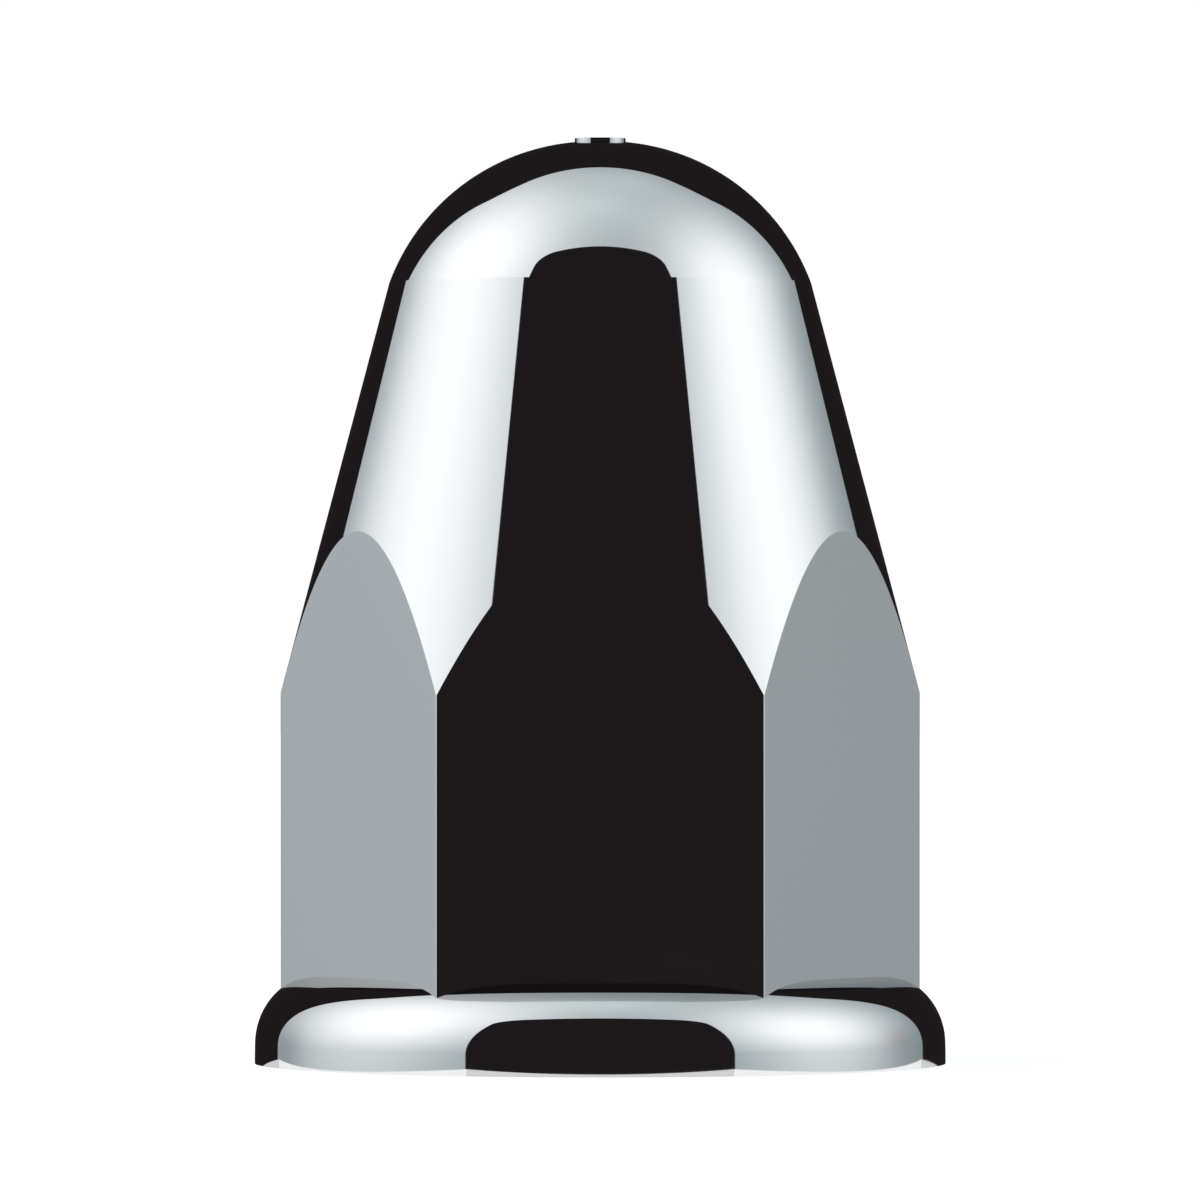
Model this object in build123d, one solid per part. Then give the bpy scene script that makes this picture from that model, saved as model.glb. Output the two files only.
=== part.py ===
from build123d import *
import os
from math import atan, cos, degrees, radians, sin, tan

# Push-on cover for one wheel nut, moulded in one piece and chrome-plated.
# Millimetres. The Z axis is the nut's axis, z = 0 is the face that meets the wheel,
# and two of the six flats face along Y.

# The nut that the cover grips, and how far each rib tip stands into its flats
nut_flats = 33.0
grip_interference = 0.1

# Hexagonal skirt
wall = 1.65
outer_edge_radius = 0.3
inner_edge_radius = 1.0

# Grip ribs, two on each flat
rib_depth = 2.0
rib_width = 1.2
rib_spacing = 10.4
rib_tip_radius = 0.4
rib_root_radius = 0.5

# Ramp at the ribs' lower ends, which centres the cover on the nut
ramp_height = 3.6
ramp_depth = 1.7

# Dome and cone. Spans are angles from the Z axis, in degrees.
top_height = 66.74
crown_radius = 20.3
crown_span = 6.8
shoulder_radius = 15.71
shoulder_span = 69.6
shoulder_spans = 5
cone_half_angle = 14.84

# Foot flange. Its edge bows gently from an outward lean at the foot to an inward one,
# both in degrees, and then rolls over on a quarter of an ellipse, in spans that end
# at set angles of the ellipse.
flange_diameter = 50.0
flange_height = 6.45
edge_foot_lean = 0.53
edge_top_lean = 1.7
roll_width = 4.8
roll_height = 5.03
roll_span_ends = (27, 54, 90)

# Recess under the flange, for the nut's washer
washer_diameter = 46.6
washer_clearance = 0.1
recess_mouth_chamfer = 0.4
recess_corner_chamfer = 2.0

# Trimmed moulding gate on the middle of the dome
gate_diameter = 3.68
gate_height = 0.19

# Sizes that follow from those above
rib_tip_flats = nut_flats - 2 * grip_interference
inner_flats = rib_tip_flats + 2 * rib_depth
outer_flats = inner_flats + 2 * wall
recess_radius = washer_diameter / 2 + washer_clearance
recess_ceiling = flange_height - wall
cone_slope = tan(radians(cone_half_angle))


def hexagon(flats, corner_radius):
    """A hexagon with two flats across Y and rounded corners."""
    outline = RegularPolygon(flats / 2, 6, major_radius=False)
    return fillet(outline.vertices(), corner_radius)


def outer_dome():
    """Half section's dome: the crown's arc, then the tangent shoulder in equal spans."""
    arcs = [JernArc((0, top_height), (1, 0), crown_radius, -crown_span)]
    span = (crown_span - shoulder_span) / shoulder_spans
    for _ in range(shoulder_spans):
        arcs.append(JernArc(arcs[-1] @ 1, arcs[-1] % 1, shoulder_radius, span))
    return arcs


def cone_radius_at_foot():
    """Radius that the outer cone would reach at z = 0."""
    seam = outer_dome()[-1] @ 1
    return seam.X + seam.Y * cone_slope


def outer_bullet():
    """The dome and its cone, down to z = 0."""
    dome = outer_dome()
    sides = Polyline(dome[-1] @ 1, (cone_radius_at_foot(), 0), (0, 0), dome[0] @ 0)
    return revolve(Plane.XZ * make_face([*dome, sides]), Axis.Z)


def inner_bullet():
    """The core that hollows the dome and cone: a cone one wall inside, ending in a ball."""
    angle = radians(cone_half_angle)
    apex = top_height - wall
    foot_radius = cone_radius_at_foot() - wall / cos(angle)
    ball_radius = (foot_radius * cos(angle) - apex * sin(angle)) / (1 - sin(angle))
    ball = JernArc((0, apex), (1, 0), ball_radius, cone_half_angle - 90)
    sides = Polyline(ball @ 1, (foot_radius, 0), (0, 0), ball @ 0)
    return revolve(Plane.XZ * make_face([ball, sides]), Axis.Z)


def hexagonal_skirt():
    """The prism with the cone and dome, whose meeting lines are the arches on the flats."""
    prism = extrude(hexagon(outer_flats, outer_edge_radius), top_height)
    return prism & outer_bullet()


def flange_edge(height):
    """The flange's bowed edge, from the foot up to the given height."""
    foot, top = radians(edge_foot_lean), radians(edge_top_lean)
    radius = height / (sin(foot) + sin(top))
    return JernArc((flange_diameter / 2, 0), (sin(foot), cos(foot)), radius, degrees(foot + top))


def foot_flange():
    """The round foot. Its elliptical roll starts where it leans in as much as the edge does."""
    start = degrees(atan(roll_height / roll_width * tan(radians(edge_top_lean))))
    centre_height = flange_height - roll_height
    edge = flange_edge(centre_height + roll_height * sin(radians(start)))
    centre = ((edge @ 1).X - roll_width * cos(radians(start)), centre_height)
    outline = [edge]
    for end in roll_span_ends:
        outline.append(EllipticalCenterArc(
            centre, roll_width, roll_height, start_angle=start, arc_size=end - start))
        start = end
    outline.append(Polyline(outline[-1] @ 1, (0, flange_height), (0, 0), edge @ 0))
    return revolve(Plane.XZ * make_face(outline), Axis.Z)


def gate_mark():
    """The trimmed gate, a low disc that is rooted half-way into the dome's wall."""
    root = top_height - wall / 2
    return Pos(0, 0, root) * extrude(Circle(gate_diameter / 2), top_height + gate_height - root)


def flat_with_ribs():
    """Section of one flat's inner face and its two ribs, on the side that faces +Y."""
    backing = Rectangle(rib_spacing + 4 * rib_width, wall, align=(Align.CENTER, Align.MIN))
    section = Pos(0, inner_flats / 2) * backing
    for side in (-1, 1):
        rib = Rectangle(rib_width, rib_depth + wall / 2, align=(Align.CENTER, Align.MIN))
        section += Pos(side * rib_spacing / 2, rib_tip_flats / 2) * rib
    roots = section.vertices().group_by(Axis.Y)[1].sort_by(Axis.X)[1:-1]
    section = fillet(roots, rib_root_radius)
    return fillet(section.vertices().group_by(Axis.Y)[0], rib_tip_radius)


def nut_socket():
    """The hollow inside the wall. The ribs run up until the inner cone cuts them off."""
    section = hexagon(inner_flats, inner_edge_radius)
    for flat in range(6):
        section -= Rot(Z=60 * flat) * flat_with_ribs()
    return extrude(section, top_height) & inner_bullet()


def rib_ramps():
    """The hexagonal funnel that slopes the ribs' lower ends, above the washer recess."""
    mouth = RegularPolygon(rib_tip_flats / 2 + ramp_depth, 6, major_radius=False)
    throat = RegularPolygon(rib_tip_flats / 2, 6, major_radius=False)
    throat_height = recess_ceiling + ramp_height
    return loft([Pos(0, 0, recess_ceiling) * mouth, Pos(0, 0, throat_height) * throat])


def washer_recess():
    """The round recess under the flange, for a washer with a bevelled upper edge."""
    outline = Polyline(
        (0, 0),
        (recess_radius + recess_mouth_chamfer, 0),
        (recess_radius, recess_mouth_chamfer),
        (recess_radius, recess_ceiling - recess_corner_chamfer),
        (recess_radius - recess_corner_chamfer, recess_ceiling),
        (0, recess_ceiling),
        (0, 0),
    )
    return revolve(Plane.XZ * make_face(outline), Axis.Z)


def nut_cover():
    outside = hexagonal_skirt() + foot_flange() + gate_mark()
    inside = nut_socket() + rib_ramps() + washer_recess()
    return outside - inside


os.makedirs("parts", exist_ok=True)
export_step(nut_cover(), "parts/nut_cover.step")
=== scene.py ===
from collections import namedtuple
from math import asin, atan, cos, hypot, radians, sin, tan

import bpy
import numpy as np
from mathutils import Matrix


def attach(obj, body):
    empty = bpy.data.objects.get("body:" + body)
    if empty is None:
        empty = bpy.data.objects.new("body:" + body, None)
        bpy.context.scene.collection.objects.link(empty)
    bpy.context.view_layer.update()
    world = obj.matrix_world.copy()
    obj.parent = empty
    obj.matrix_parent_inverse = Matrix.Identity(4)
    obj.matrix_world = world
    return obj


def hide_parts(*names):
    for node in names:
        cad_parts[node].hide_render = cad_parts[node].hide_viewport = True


MM = 0.001

# The cover's outer surfaces, in millimetres and radians. They repeat the solid's own sizes,
# but the upright edges have a finer round, and the arches' edges have one too.
FLAT_TURN = radians(60)
FLAT_FACINGS = [side * FLAT_TURN for side in range(6)]
SKIRT_APOTHEM = 20.05
SKIRT_EDGE_RADIUS = 0.12
ARCH_EDGE_RADIUS = 0.12
CONE_HALF_ANGLE = radians(14.84)
TOP_HEIGHT = 66.74
CROWN_RADIUS = 20.3
CROWN_SPAN = radians(6.8)
SHOULDER_RADIUS = 15.71
SHOULDER_SPAN = radians(69.6)
GATE_RADIUS = 1.84
GATE_HEIGHT = 0.19
RIM_RADIUS = 25.0
FLANGE_HEIGHT = 6.45
EDGE_FOOT_LEAN = radians(0.53)
EDGE_TOP_LEAN = radians(1.7)
ROLL_WIDTH = 4.8
ROLL_HEIGHT = 5.03
WALL = 1.65
RECESS_RADIUS = 23.4
MOUTH_CHAMFER = 0.4

# Sizes that follow: where the roll starts on its ellipse, the dome's two arcs and the seam
# below them, the cone's radius at z = 0, the gate mark, and the recess under the flange
ROLL_START = atan(ROLL_HEIGHT / ROLL_WIDTH * tan(EDGE_TOP_LEAN))
CROWN_CENTRE = (0, TOP_HEIGHT - CROWN_RADIUS)
SHOULDER_CENTRE = (
    (CROWN_RADIUS - SHOULDER_RADIUS) * sin(CROWN_SPAN),
    CROWN_CENTRE[1] + (CROWN_RADIUS - SHOULDER_RADIUS) * cos(CROWN_SPAN),
)
SEAM_RADIUS = SHOULDER_CENTRE[0] + SHOULDER_RADIUS * sin(SHOULDER_SPAN)
SEAM_HEIGHT = SHOULDER_CENTRE[1] + SHOULDER_RADIUS * cos(SHOULDER_SPAN)
CONE_SLOPE = tan(CONE_HALF_ANGLE)
CONE_FOOT_RADIUS = SEAM_RADIUS + SEAM_HEIGHT * CONE_SLOPE
GATE_TILT = asin(GATE_RADIUS / CROWN_RADIUS)
GATE_ROOT = CROWN_CENTRE[1] + CROWN_RADIUS * cos(GATE_TILT)
GATE_TOP = TOP_HEIGHT + GATE_HEIGHT
MOUTH_RADIUS = RECESS_RADIUS + MOUTH_CHAMFER
RECESS_CEILING = FLANGE_HEIGHT - WALL

# How far off the foot's face a point of the solid must be to be inside the recess, and how far
# outside the recess's own faces it may be, in millimetres
FOOT_SLACK = 1e-4
RECESS_SLACK = 0.05

# Mesh rows and columns
FLAT_COLUMNS = 48
CORNER_COLUMNS = 8
EDGE_ROWS = 8
ROLL_ROWS = 56
SKIRT_ROWS = 6
ARCH_ROWS = 4
CONE_ROWS = 16
SHOULDER_ROWS = 36
CROWN_ROWS = 6

# Plating. A pattern's scale is in waves per metre, and most of its values lie between its ends.
# Roughness and tint are given from the lower end to the upper one.
CHROME_REFLECTANCE = 0.55
CHROME_EDGE_TINT = 0.80
CHROME_CLOUD = {"Scale": 60.0, "Detail": 3.0}
CHROME_ROUGHNESS = (0.012, 0.03)
INSIDE_MOTTLE = {"Scale": 220.0, "Detail": 5.0}
INSIDE_ROUGHNESS = (0.42, 0.22)
INSIDE_TINT_ENDS = (0.35, 0.70)
INSIDE_TINTS = ((0.36, 0.36, 0.35, 1), (0.52, 0.52, 0.52, 1))
PATTERN_ENDS = (0.3, 0.7)

# Camera, level with the middle of the cover and straight in front of one flat. The lens and
# the sensor are in millimetres, and all else is in metres.
CAMERA_DISTANCE = 810 * MM
CAMERA_HEIGHT = 33.51 * MM
CAMERA_OFFSET = -0.0145 * MM
CAMERA_LENS = 335.6
CAMERA_SENSOR = 36
CAMERA_CLIP = (0.01, 100)

# Studio: a large room with black panels on its end walls, glowing side walls and ceiling, a
# pale skirting and a pale floor whose glow carries a painted reflection of the walls and
# ceiling. Its half width is in metres. Heights are above the camera's and, like the panels'
# sizes, they are fractions of the half width. Tints are as bright as the chrome shows them.
ROOM_HALF_WIDTH = 50.0
ROOM_BOTTOM = -0.12
SKIRTING_TOP = -0.0515
ROOM_TOP = 1.76
ROOM_TINT = (0.119, 0.177, 0.190)
ROOM_FLOOR_TINT = (0.30, 0.30, 0.30)
# Strength of the painted reflection of the walls and ceiling in the room floor's glow.
ROOM_FLOOR_PAINTED_REFLECTION = 0.50
END_SKIRTING_TINT = (0.63, 0.64, 0.64)
SIDE_SKIRTING_TINT = (0.86, 0.88, 0.88)
FRONT_PANEL = {"half_width": tan(radians(45.3)), "top": tan(radians(60.3))}
BACK_PANEL = {"half_width": tan(radians(43.7)), "top": tan(radians(59.2))}
PANEL_CORNER = 0.30
PANEL_EDGE = 0.006
PANEL_TINT = (0.0117, 0.0097, 0.0103)
LEAST_DEPTH = 1e-4

# Glows on the walls and ceiling: degrees from the front towards the right, degrees above the
# horizon, how quickly it fades with the angle, and its tint. One with negative tints is a shade.
Glow = namedtuple("Glow", "azimuth elevation tightness tint")
GLOWS = {
    "left lamp": Glow(-87.2, 38.0, 3.13, (0.962, 0.920, 0.928)),
    "right lamp": Glow(81.4, 27.4, 4.65, (0.863, 0.831, 0.841)),
    "rear ceiling": Glow(155.6, 68.0, 49.3, (0.082, 0.092, 0.091)),
    "ceiling": Glow(35.0, 86.9, 43.8, (0.053, 0.088, 0.083)),
    "left rear corner": Glow(-127.5, 2.6, 47.8, (-0.094, -0.112, -0.108)),
    "right rear corner": Glow(119.2, 6.8, 71.3, (-0.038, -0.085, -0.085)),
}

# White floor under the cover, a hair below it so that the two faces stay apart. Its glow lifts
# it to the background's white.
FLOOR_HALF_WIDTH = 2.0
FLOOR_GAP = 0.02 * MM
FLOOR_WHITE = 0.5
FLOOR_LIFT = 0.71


def ring(radius, height, azimuths):
    """Points round the Z axis. Radius and height may vary from point to point."""
    radius = np.broadcast_to(radius, azimuths.shape)
    height = np.broadcast_to(height, azimuths.shape)
    return np.stack([radius * np.sin(azimuths), -radius * np.cos(azimuths), height], axis=1)


def unit(vectors):
    return vectors / np.linalg.norm(vectors, axis=-1, keepdims=True)


def skirt_outline():
    """Points round the hexagon with its rounded corners, and the outward normal at each."""
    straight = SKIRT_APOTHEM - SKIRT_EDGE_RADIUS
    half_flat = straight * tan(FLAT_TURN / 2)
    points, normals = [], []
    for facing in FLAT_FACINGS:
        out = np.array([sin(facing), -cos(facing), 0])
        along = np.array([cos(facing), sin(facing), 0])
        for step in range(FLAT_COLUMNS):
            points.append(SKIRT_APOTHEM * out + half_flat * (2 * step / FLAT_COLUMNS - 1) * along)
            normals.append(out)
        centre = straight * out + half_flat * along
        for step in range(CORNER_COLUMNS):
            turn = facing + FLAT_TURN * step / CORNER_COLUMNS
            normals.append(np.array([sin(turn), -cos(turn), 0]))
            points.append(centre + SKIRT_EDGE_RADIUS * normals[-1])
    return np.array(points), np.array(normals)


# The functions named rows give the outer surface from below upwards. Each row is a ring of
# points with the outward normal at each.


def level_rows(radii, height, azimuths, up):
    """Rows on a level ring, which faces up or down."""
    normal = np.tile((0.0, 0.0, up), (len(azimuths), 1))
    return [(ring(radius, height, azimuths), normal) for radius in radii]


def edge_rows(azimuths):
    """The flange's edge, bowed from its outward lean at the foot to its inward lean above."""
    height = FLANGE_HEIGHT - ROLL_HEIGHT * (1 - sin(ROLL_START))
    bow = height / (sin(EDGE_FOOT_LEAN) + sin(EDGE_TOP_LEAN))
    rows = []
    for lean in np.linspace(-EDGE_FOOT_LEAN, EDGE_TOP_LEAN, EDGE_ROWS + 1):
        radius = RIM_RADIUS + bow * (cos(lean) - cos(EDGE_FOOT_LEAN))
        rise = bow * (sin(lean) + sin(EDGE_FOOT_LEAN))
        rows.append((ring(radius, rise, azimuths), ring(cos(lean), sin(lean), azimuths)))
    return rows


def roll_rows(edge_top, azimuths, skirt_radii):
    """The flange's elliptical roll, from the edge's top radius to the skirt that stands on it."""
    centre = edge_top - ROLL_WIDTH * cos(ROLL_START)
    end = np.arccos(np.clip((skirt_radii - centre) / ROLL_WIDTH, 0, 1))
    rows = []
    for step in range(ROLL_ROWS + 1):
        turn = ROLL_START + (end - ROLL_START) * step / ROLL_ROWS
        radius = centre + ROLL_WIDTH * np.cos(turn)
        height = FLANGE_HEIGHT - ROLL_HEIGHT * (1 - np.sin(turn))
        normal = unit(ring(np.cos(turn) / ROLL_WIDTH, np.sin(turn) / ROLL_HEIGHT, azimuths))
        rows.append((ring(radius, height, azimuths), normal))
    rows[-1] = (ring(skirt_radii, height, azimuths), normal)
    return rows


def flat_rows(start, end, normals):
    """The skirt's flats and their edges, straight up from one row of points to another."""
    return [(start + (end - start) * step / SKIRT_ROWS, normals) for step in range(SKIRT_ROWS + 1)]


def arch_rows(edge, facing, slope):
    """The small round where the flats, with normals facing, meet the cone, with normals slope."""
    cosine = np.sum(facing * slope, axis=1, keepdims=True)
    centre = edge - ARCH_EDGE_RADIUS * (facing + slope) / (1 + cosine)
    angle = np.arccos(np.clip(cosine, -1, 1))
    rows = []
    for step in range(ARCH_ROWS + 1):
        t = step / ARCH_ROWS
        normal = unit((np.sin((1 - t) * angle) * facing + np.sin(t * angle) * slope) / np.sin(angle))
        rows.append((centre + ARCH_EDGE_RADIUS * normal, normal))
    return rows


def cone_rows(start, azimuths):
    """The cone from its lower edge up to the dome's seam."""
    offset = np.arctan2(start[:, 0], -start[:, 1]) - azimuths
    low_azimuths = azimuths + np.angle(np.exp(1j * offset))
    rows = []
    for step in range(CONE_ROWS + 1):
        t = step / CONE_ROWS
        turn = low_azimuths + (azimuths - low_azimuths) * t
        height = start[:, 2] + (SEAM_HEIGHT - start[:, 2]) * t
        normal = ring(cos(CONE_HALF_ANGLE), sin(CONE_HALF_ANGLE), turn)
        rows.append((ring(CONE_FOOT_RADIUS - height * CONE_SLOPE, height, turn), normal))
    return rows


def arc_rows(centre, radius, tilts, azimuths):
    """Rows on an arc that is turned round the axis, at the given tilts from the axis."""
    rows = []
    for tilt in tilts:
        points = ring(centre[0] + radius * sin(tilt), centre[1] + radius * cos(tilt), azimuths)
        rows.append((points, ring(sin(tilt), cos(tilt), azimuths)))
    return rows


def gate_rows(azimuths):
    """The gate mark's upright side."""
    outward = ring(1, 0, azimuths)
    return [(ring(GATE_RADIUS, height, azimuths), outward) for height in (GATE_ROOT, GATE_TOP)]


def outside_sections():
    """The outer surface from the foot to the gate mark's top, section by section."""
    corners, facing = skirt_outline()
    azimuths = np.unwrap(np.arctan2(corners[:, 0], -corners[:, 1]))
    radii = np.linalg.norm(corners[:, :2], axis=1)
    edge = edge_rows(azimuths)
    edge_top = np.linalg.norm(edge[-1][0][0, :2])
    roll = roll_rows(edge_top, azimuths, radii)
    arch = corners.copy()
    arch[:, 2] = (CONE_FOOT_RADIUS - radii) / CONE_SLOPE
    slope = ring(cos(CONE_HALF_ANGLE), sin(CONE_HALF_ANGLE), azimuths)
    arch_round = arch_rows(arch, facing, slope)
    shoulder_tilts = np.linspace(SHOULDER_SPAN, CROWN_SPAN, SHOULDER_ROWS + 1)
    crown_tilts = np.linspace(CROWN_SPAN, GATE_TILT, CROWN_ROWS + 1)
    return [
        level_rows((MOUTH_RADIUS, RIM_RADIUS), 0, azimuths, -1.0),
        edge,
        roll,
        flat_rows(roll[-1][0], arch_round[0][0], facing),
        arch_round,
        cone_rows(arch_round[-1][0], azimuths),
        arc_rows(SHOULDER_CENTRE, SHOULDER_RADIUS, shoulder_tilts, azimuths),
        arc_rows(CROWN_CENTRE, CROWN_RADIUS, crown_tilts, azimuths),
        gate_rows(azimuths),
        level_rows((GATE_RADIUS, GATE_RADIUS / 2), GATE_TOP, azimuths, 1.0),
    ]


class Skin:
    """Points, faces and a normal for each face corner."""

    def __init__(self):
        self.points, self.faces, self.normals = [], [], []

    def face(self, indices, normals):
        self.faces.append(tuple(indices))
        self.normals += [tuple(n) for n in normals]

    def strips(self, sections):
        """Quads between the rows. Sections share the row of points in which they meet."""
        count = len(sections[0][0][0])
        self.points.extend(sections[0][0][0])
        for rows in sections:
            for (_, low), (points, high) in zip(rows, rows[1:]):
                base = len(self.points) - count
                self.points.extend(points)
                for i in range(count):
                    j = (i + 1) % count
                    corners = (base + i, base + j, base + count + j, base + count + i)
                    self.face(corners, (low[i], low[j], high[j], high[i]))

    def cap(self, count, normal):
        """One level face inside the last row."""
        self.face(range(len(self.points) - count, len(self.points)), [normal] * count)


def is_inside(x, y, z):
    """Whether a point of the solid's surface, in millimetres, is on the inner side of the wall."""
    radius = hypot(x, y)
    if z < RECESS_CEILING + RECESS_SLACK:
        recess = max(MOUTH_RADIUS - z, RECESS_RADIUS)
        return z > FOOT_SLACK and radius < recess + RECESS_SLACK
    across = max(x * sin(facing) - y * cos(facing) for facing in FLAT_FACINGS)
    if across > SKIRT_APOTHEM - WALL / 2:
        return False
    if z < SEAM_HEIGHT - WALL:
        return radius < CONE_FOOT_RADIUS - z * CONE_SLOPE - WALL / 2
    from_shoulder = hypot(radius - SHOULDER_CENTRE[0], z - SHOULDER_CENTRE[1])
    return from_shoulder < SHOULDER_RADIUS - WALL / 2


def add_inside(skin, node):
    """The solid's own inner faces: washer recess, ramps, ribs, cone and end."""
    mesh = node.data
    for polygon in mesh.polygons:
        if is_inside(*(polygon.center / MM)):
            base = len(skin.points)
            skin.points.extend(np.array(mesh.vertices[v].co) / MM for v in polygon.vertices)
            corners = [mesh.corner_normals[i].vector for i in polygon.loop_indices]
            skin.face(range(base, len(skin.points)), corners)


def link(name, data):
    made = bpy.data.objects.new(name, data)
    bpy.context.scene.collection.objects.link(made)
    return made


def build_cap(node):
    """The whole cover: a finely meshed outside with exact normals, and the solid's inside."""
    skin = Skin()
    sections = outside_sections()
    skin.strips(sections)
    skin.cap(len(sections[0][0][0]), (0, 0, 1))
    outer = len(skin.faces)
    add_inside(skin, node)
    mesh = bpy.data.meshes.new("nut_cover_chrome")
    mesh.from_pydata([tuple(p * MM) for p in skin.points], [], skin.faces)
    mesh.normals_split_custom_set(skin.normals)
    mesh.materials.append(chrome())
    mesh.materials.append(plated_inside())
    for polygon in mesh.polygons[outer:]:
        polygon.material_index = 1
    return link("nut_cover_chrome", mesh)


class Graph:
    """Short calls for a node tree."""

    def __init__(self, owner):
        owner.use_nodes = True
        self.tree = owner.node_tree
        self.tree.nodes.clear()

    def node(self, kind, inputs=None, **settings):
        made = self.tree.nodes.new(kind)
        for name, value in settings.items():
            setattr(made, name, value)
        for key, value in (inputs or {}).items():
            if isinstance(value, bpy.types.NodeSocket):
                self.tree.links.new(value, made.inputs[key])
            else:
                made.inputs[key].default_value = value
        return made

    def math(self, operation, *values):
        return self.node("ShaderNodeMath", dict(enumerate(values)), operation=operation).outputs[0]

    def vector(self, operation, *values, output="Vector"):
        made = self.node("ShaderNodeVectorMath", dict(enumerate(values)), operation=operation)
        return made.outputs[output]

    def scaled(self, vector, factor):
        made = self.node("ShaderNodeVectorMath", {0: vector, "Scale": factor}, operation="SCALE")
        return made.outputs[0]

    def remap(self, value, ends, results):
        """A value between two ends, turned into one between two results and held there."""
        return self.node("ShaderNodeMapRange", dict(enumerate((value, *ends, *results)))).outputs[0]

    def pattern(self, settings):
        """A cloudy pattern's value, at the place on the object."""
        place = self.node("ShaderNodeTexCoord").outputs["Object"]
        return self.node("ShaderNodeTexNoise", {"Vector": place, **settings}).outputs["Fac"]


def grey(value):
    return (value, value, value, 1)


def chrome():
    """Bright plating, a mirror whose gloss wanders slightly over the moulding."""
    material = bpy.data.materials.new("chrome_plating")
    g = Graph(material)
    gloss = g.remap(g.pattern(CHROME_CLOUD), PATTERN_ENDS, CHROME_ROUGHNESS)
    shader = g.node("ShaderNodeBsdfPrincipled", {
        "Base Color": grey(CHROME_REFLECTANCE),
        "Specular Tint": grey(CHROME_EDGE_TINT),
        "Metallic": 1.0,
        "Roughness": gloss,
    })
    g.node("ShaderNodeOutputMaterial", {0: shader.outputs[0]})
    return material


def plated_inside():
    """The thinner, duller plating inside the moulding, mottled where the bath reached it less."""
    material = bpy.data.materials.new("chrome_plating_inside")
    g = Graph(material)
    mottle = g.pattern(INSIDE_MOTTLE)
    ramp = g.node("ShaderNodeValToRGB", {0: mottle})
    for stop, position, tint in zip(ramp.color_ramp.elements, INSIDE_TINT_ENDS, INSIDE_TINTS):
        stop.position = position
        stop.color = tint
    shader = g.node("ShaderNodeBsdfPrincipled", {
        "Base Color": ramp.outputs[0],
        "Metallic": 1.0,
        "Roughness": g.remap(mottle, PATTERN_ENDS, INSIDE_ROUGHNESS),
    })
    g.node("ShaderNodeOutputMaterial", {0: shader.outputs[0]})
    return material


def direction(azimuth, elevation):
    """A unit vector, from degrees right of the front and degrees above the horizon."""
    a, e = radians(azimuth), radians(elevation)
    return (cos(e) * sin(a), -cos(e) * cos(a), sin(e))


def glow(g, toward):
    """The room's light by the direction from the cover."""
    light = ROOM_TINT
    for lobe in GLOWS.values():
        centre = direction(lobe.azimuth, lobe.elevation)
        facing = g.vector("DOT_PRODUCT", toward, centre, output="Value")
        falloff = g.math("MULTIPLY", g.math("SUBTRACT", facing, 1.0), lobe.tightness)
        light = g.vector("ADD", light, g.scaled(lobe.tint, g.math("EXPONENT", falloff)))
    return light


def panel_mask(g, depth, side, up, half_width, top):
    """1 on a round-cornered panel across the end of the room, 0 elsewhere."""
    ahead = g.math("MAXIMUM", depth, LEAST_DEPTH)
    aside = g.math("ABSOLUTE", g.math("DIVIDE", side, ahead))
    across = g.math("SUBTRACT", aside, half_width - PANEL_CORNER)
    above = g.math("SUBTRACT", g.math("DIVIDE", up, ahead), top - PANEL_CORNER)
    overshoots = [g.math("MAXIMUM", reach, 0.0) for reach in (across, above)]
    squares = [g.math("MULTIPLY", overshoot, overshoot) for overshoot in overshoots]
    rounded = g.math("SQRT", g.math("ADD", *squares))
    within = g.math("MINIMUM", g.math("MAXIMUM", across, above), 0.0)
    distance = g.math("SUBTRACT", g.math("ADD", rounded, within), PANEL_CORNER)
    mask = g.remap(distance, (-PANEL_EDGE, PANEL_EDGE), (1.0, 0.0))
    return g.math("MULTIPLY", mask, g.math("GREATER_THAN", depth, 0.0))


def studio_tint(g, toward):
    """The glowing walls and ceiling with the black panels on the end walls."""
    split = g.node("ShaderNodeSeparateXYZ", {0: toward}).outputs
    front = panel_mask(g, g.math("MULTIPLY", split[1], -1.0), split[0], split[2], **FRONT_PANEL)
    back = panel_mask(g, split[1], split[0], split[2], **BACK_PANEL)
    black = g.math("MAXIMUM", front, back)
    mix = g.node("ShaderNodeMix", {0: black, 4: glow(g, toward), 5: PANEL_TINT}, data_type="VECTOR")
    return mix.outputs[1]


def from_cover(g):
    """The direction to a place on the room from the cover's axis, at the camera's height."""
    place = g.node("ShaderNodeNewGeometry").outputs["Position"]
    return g.vector("NORMALIZE", g.vector("SUBTRACT", place, (0.0, 0.0, CAMERA_HEIGHT)))


def wall_tint(g):
    return studio_tint(g, from_cover(g))


def floor_tint(g):
    """The room's pale floor: its glow has a dim painted reflection of the walls and ceiling."""
    # Painted reflection: the walls and ceiling, turned upside down, added to the floor's glow at a
    # fixed strength.
    painted_reflection = studio_tint(g, g.vector("MULTIPLY", from_cover(g), (1.0, 1.0, -1.0)))
    return g.vector("ADD", g.scaled(painted_reflection, ROOM_FLOOR_PAINTED_REFLECTION), ROOM_FLOOR_TINT)


def emission(name, tint):
    """A surface that glows so that the chrome shows its tint, which may be a function."""
    material = bpy.data.materials.new(name)
    g = Graph(material)
    colour = tint(g) if callable(tint) else (*tint, 1)
    shader = g.node("ShaderNodeEmission", {0: colour, 1: 1 / CHROME_REFLECTANCE}).outputs[0]
    g.node("ShaderNodeOutputMaterial", {0: shader})
    return material


def square(half, height):
    """Corners of a level square round the Z axis."""
    return [(x * half, y * half, height) for x, y in ((-1, -1), (1, -1), (1, 1), (-1, 1))]


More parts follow.
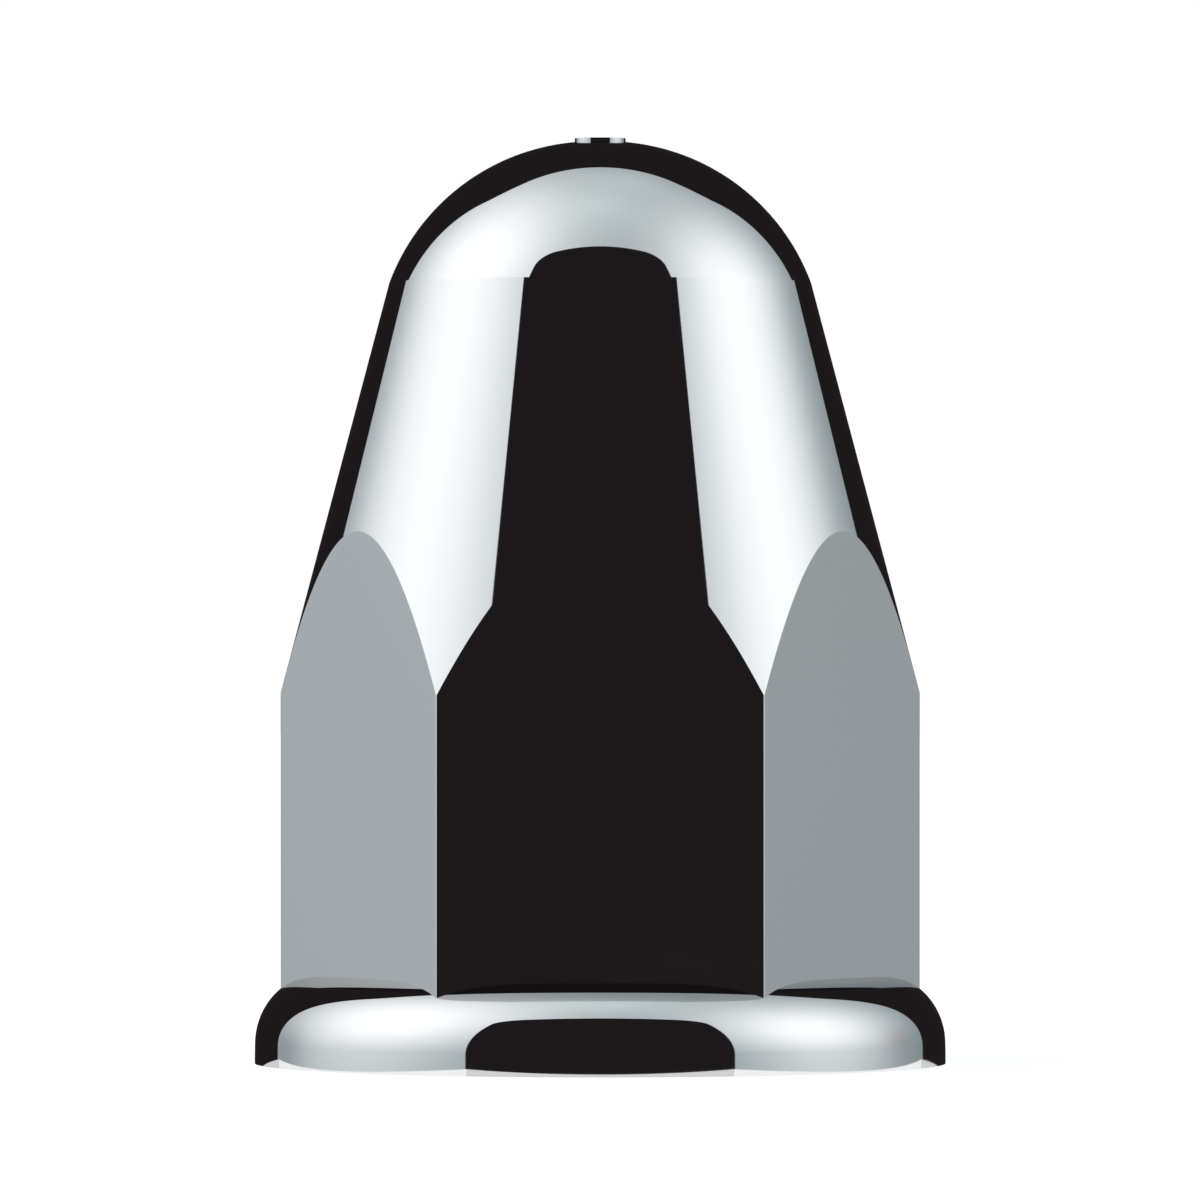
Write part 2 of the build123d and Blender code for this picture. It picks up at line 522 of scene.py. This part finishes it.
def room():
    """Skirting, walls, ceiling and floor, which show in the chrome and not to the camera."""
    corners = []
    for level in (ROOM_BOTTOM, SKIRTING_TOP, ROOM_TOP):
        corners += square(ROOM_HALF_WIDTH, CAMERA_HEIGHT + level * ROOM_HALF_WIDTH)
    skirting = [(i, (i + 1) % 4, (i + 1) % 4 + 4, i + 4) for i in range(4)]
    walls = [tuple(corner + 4 for corner in face) for face in skirting]
    ceiling, ground = (8, 9, 10, 11), (0, 1, 2, 3)
    mesh = bpy.data.meshes.new("room")
    mesh.from_pydata(corners, [], [*skirting, *walls, ceiling, ground])
    mesh.materials.append(emission("room_walls", wall_tint))
    mesh.materials.append(emission("end_skirting", END_SKIRTING_TINT))
    mesh.materials.append(emission("side_skirting", SIDE_SKIRTING_TINT))
    mesh.materials.append(emission("room_floor", floor_tint))
    for side in range(4):
        mesh.polygons[side].material_index = 1 + side % 2
    mesh.polygons[-1].material_index = 3
    made = link("room", mesh)
    made.visible_camera = False
    made.visible_shadow = False


def white_world():
    world = bpy.data.worlds.new("white")
    bpy.context.scene.world = world
    g = Graph(world)
    white = g.node("ShaderNodeBackground", {0: grey(1.0), 1: 1.0}).outputs[0]
    g.node("ShaderNodeOutputWorld", {0: white})


def floor_white():
    """White paper with a glow of its own. From below it is clear, so that the socket shows."""
    material = bpy.data.materials.new("floor_white")
    g = Graph(material)
    paper = g.node("ShaderNodeBsdfDiffuse", {0: grey(FLOOR_WHITE)}).outputs[0]
    lift = g.node("ShaderNodeEmission", {0: grey(1.0), 1: FLOOR_LIFT}).outputs[0]
    lit = g.node("ShaderNodeAddShader", {0: paper, 1: lift}).outputs[0]
    clear = g.node("ShaderNodeBsdfTransparent").outputs[0]
    underside = g.node("ShaderNodeNewGeometry").outputs["Backfacing"]
    one_sided = g.node("ShaderNodeMixShader", {0: underside, 1: lit, 2: clear}).outputs[0]
    g.node("ShaderNodeOutputMaterial", {0: one_sided})
    return material


def floor():
    """The white floor, which takes the cover's faint shadow and stays out of its chrome."""
    mesh = bpy.data.meshes.new("floor")
    mesh.from_pydata(square(FLOOR_HALF_WIDTH, -FLOOR_GAP), [], [(0, 1, 2, 3)])
    mesh.materials.append(floor_white())
    made = link("floor", mesh)
    made.visible_glossy = False
    made.visible_shadow = False


def camera():
    data = bpy.data.cameras.new("camera")
    data.lens, data.sensor_width = CAMERA_LENS, CAMERA_SENSOR
    data.clip_start, data.clip_end = CAMERA_CLIP
    made = link("camera", data)
    made.location = (CAMERA_OFFSET, -CAMERA_DISTANCE, CAMERA_HEIGHT)
    made.rotation_euler = (radians(90), 0, 0)
    bpy.context.scene.camera = made


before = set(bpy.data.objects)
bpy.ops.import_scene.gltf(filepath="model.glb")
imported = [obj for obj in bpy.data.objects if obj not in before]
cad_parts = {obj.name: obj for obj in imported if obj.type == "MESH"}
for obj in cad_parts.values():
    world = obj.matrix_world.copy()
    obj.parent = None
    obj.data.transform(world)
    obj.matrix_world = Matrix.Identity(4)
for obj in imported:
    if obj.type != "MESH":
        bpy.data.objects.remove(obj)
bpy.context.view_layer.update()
cap = build_cap(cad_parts["nut_cover"])
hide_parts("nut_cover")
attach(cap, "root")
room()
white_world()
floor()
camera()
bpy.context.scene.view_settings.view_transform = "Standard"
